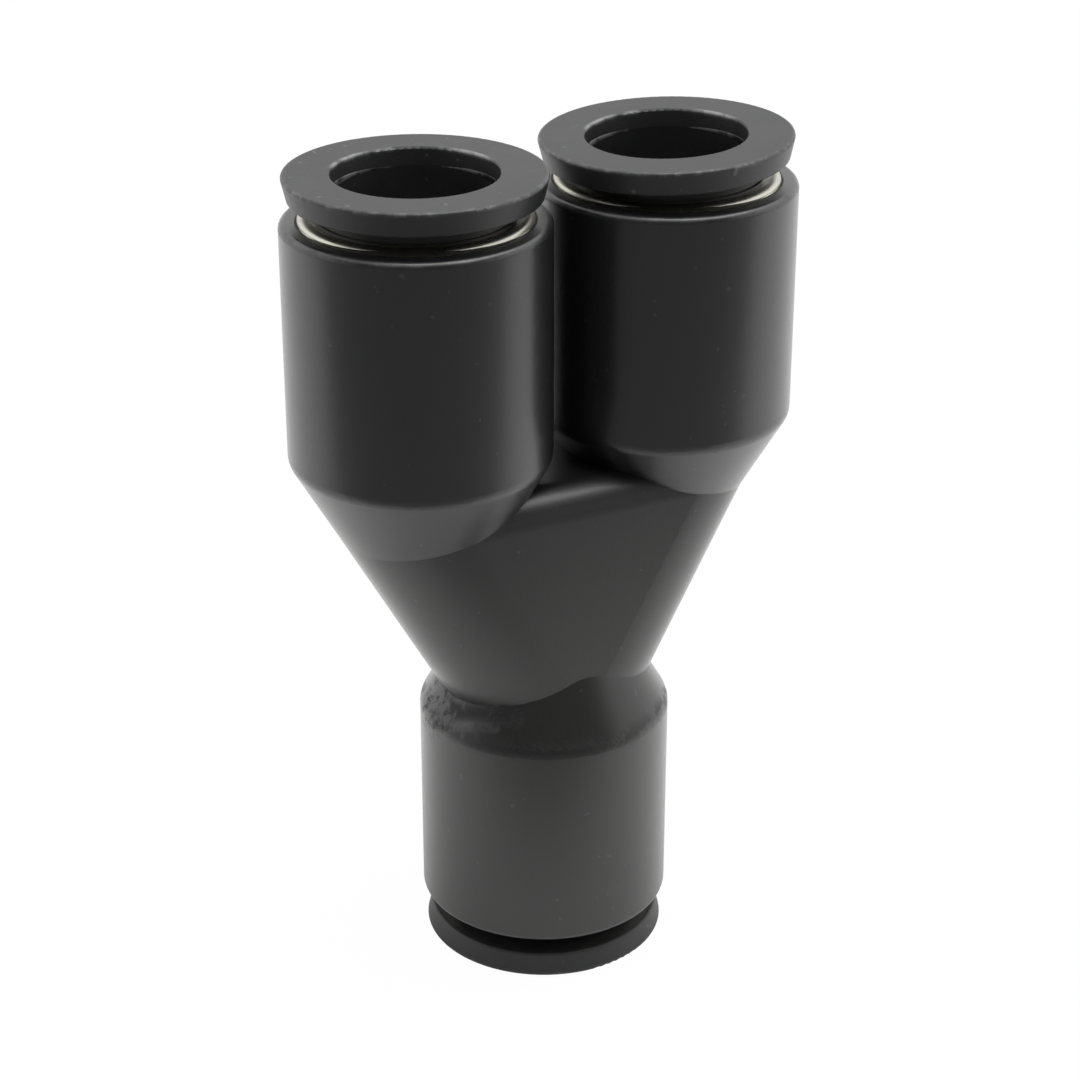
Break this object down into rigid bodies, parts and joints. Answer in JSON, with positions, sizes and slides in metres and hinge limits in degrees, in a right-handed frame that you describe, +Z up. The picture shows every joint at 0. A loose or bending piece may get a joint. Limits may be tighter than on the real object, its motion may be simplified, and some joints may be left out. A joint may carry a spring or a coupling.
{
  "type": "tubing y connector",
  "caption": "Push-in Y connector joining a round tube port below to parallel ports above, each with a flanged release collet, in a black moulded body.",
  "frame": {"origin": "middle of the lower release collet's foot, the lowest point of the part, midway between the upper ports", "axes": "+Z runs up the lower port's axis towards the two upper ports, +X runs from the left upper port to the right one, +Y across the web's thickness"},
  "size_m": [0.0276, 0.0134, 0.0447],
  "materials": {
    "body_nylon": "satin black moulded nylon",
    "collet_acetal": "satin black moulded acetal",
    "collar_nickel": "nickel plated, smooth",
    "grip_steel": "bright spring steel",
    "support_acetal": "natural white acetal",
    "seal_rubber": "black nitrile rubber"
  },
  "bodies": {
    "fitting": {"body": "body_nylon", "left_retainer_collar": "collar_nickel", "left_grip_ring": "grip_steel", "left_support_ring": "support_acetal", "left_seal": "seal_rubber", "right_retainer_collar": "collar_nickel", "right_grip_ring": "grip_steel", "right_support_ring": "support_acetal", "right_seal": "seal_rubber", "lower_retainer_collar": "collar_nickel", "lower_grip_ring": "grip_steel", "lower_support_ring": "support_acetal", "lower_seal": "seal_rubber"},
    "left_release": {"left_release_collet": "collet_acetal"},
    "right_release": {"right_release_collet": "collet_acetal"},
    "lower_release": {"lower_release_collet": "collet_acetal"}
  },
  "joints": [
    {"name": "left_release_slide", "type": "slide", "parent": "fitting", "child": "left_release", "axis": [0, 0, -1], "range_m": [0, 0.00075], "stiffness_N_per_m": 1500},
    {"name": "right_release_slide", "type": "slide", "parent": "fitting", "child": "right_release", "axis": [0, 0, -1], "range_m": [0, 0.0005], "stiffness_N_per_m": 1500},
    {"name": "lower_release_slide", "type": "slide", "parent": "fitting", "child": "lower_release", "axis": [0, 0, 1], "range_m": [0, 0.00075], "stiffness_N_per_m": 1500}
  ]
}
